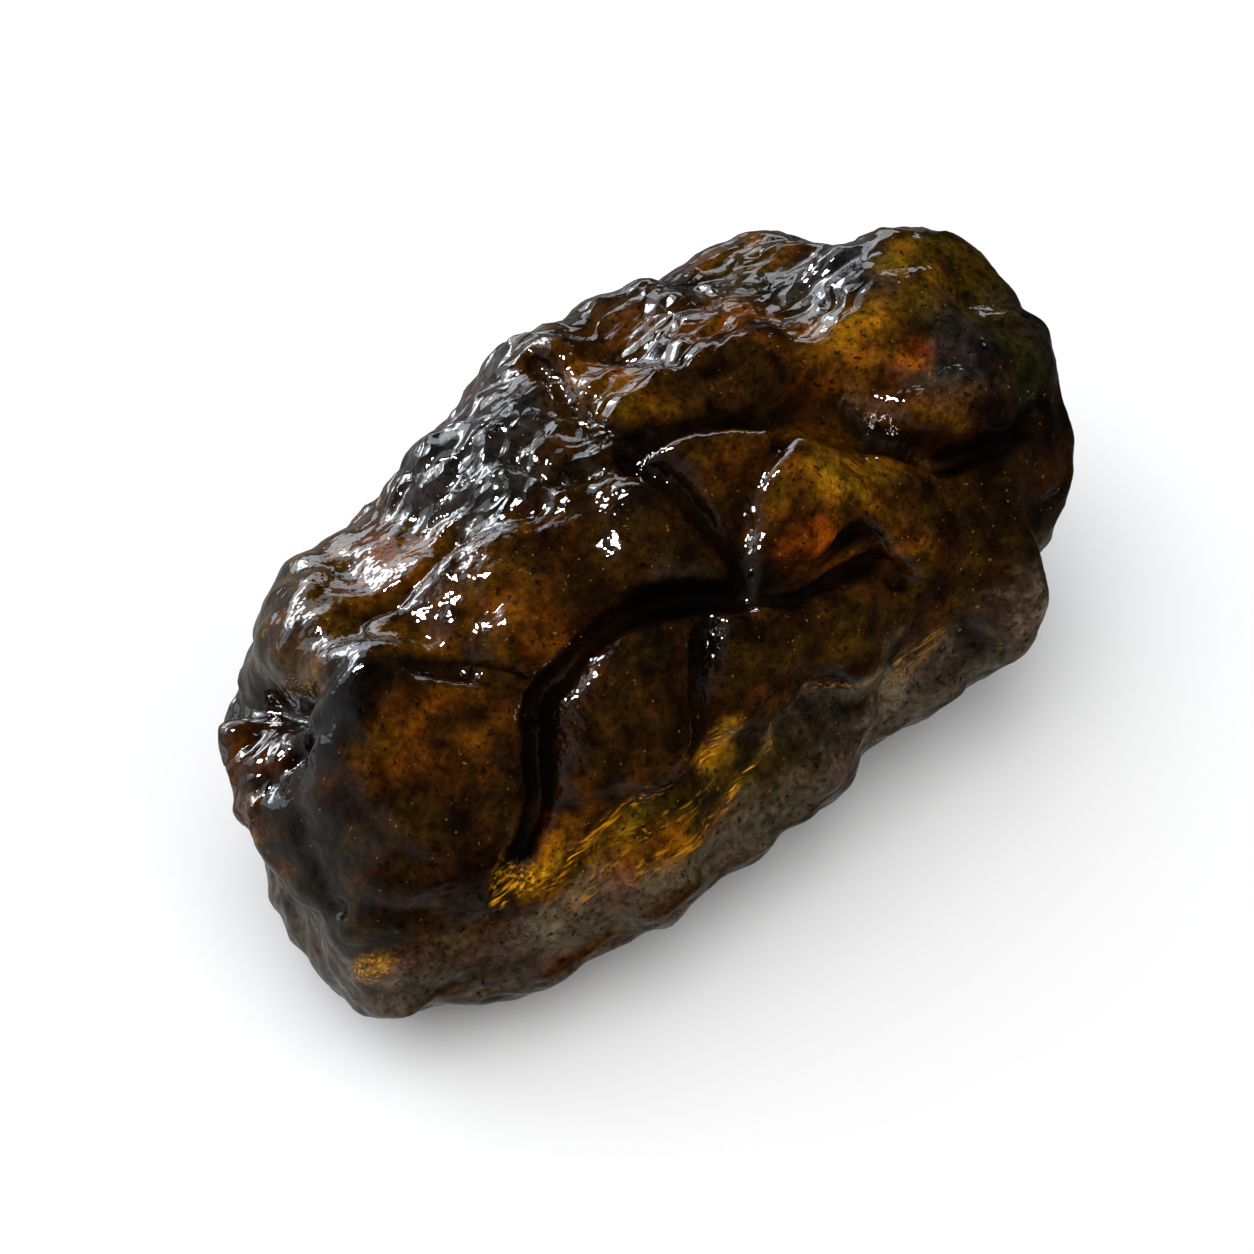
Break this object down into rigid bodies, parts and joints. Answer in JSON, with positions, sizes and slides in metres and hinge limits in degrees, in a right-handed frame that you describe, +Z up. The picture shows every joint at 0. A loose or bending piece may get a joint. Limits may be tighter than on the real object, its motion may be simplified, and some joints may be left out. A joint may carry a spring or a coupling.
{
  "type": "raw amber piece",
  "caption": "Raw, unpolished lump of amber with swelling lobes, dark furrows between them and a worn flat underside.",
  "frame": {"origin": "middle of the lump's length and width, on the surface it rests on", "axes": "+X along the lump's length, towards its blunter end; +Z up; -Y towards the side with the lumpy face and the streaked skirt"},
  "size_m": [0.0574, 0.0318, 0.0247],
  "materials": {
    "amber": "wet-looking gloss over mottled ochre, olive and near-black see-through resin"
  },
  "bodies": {
    "root": {"amber": "amber"}
  },
  "joints": []
}
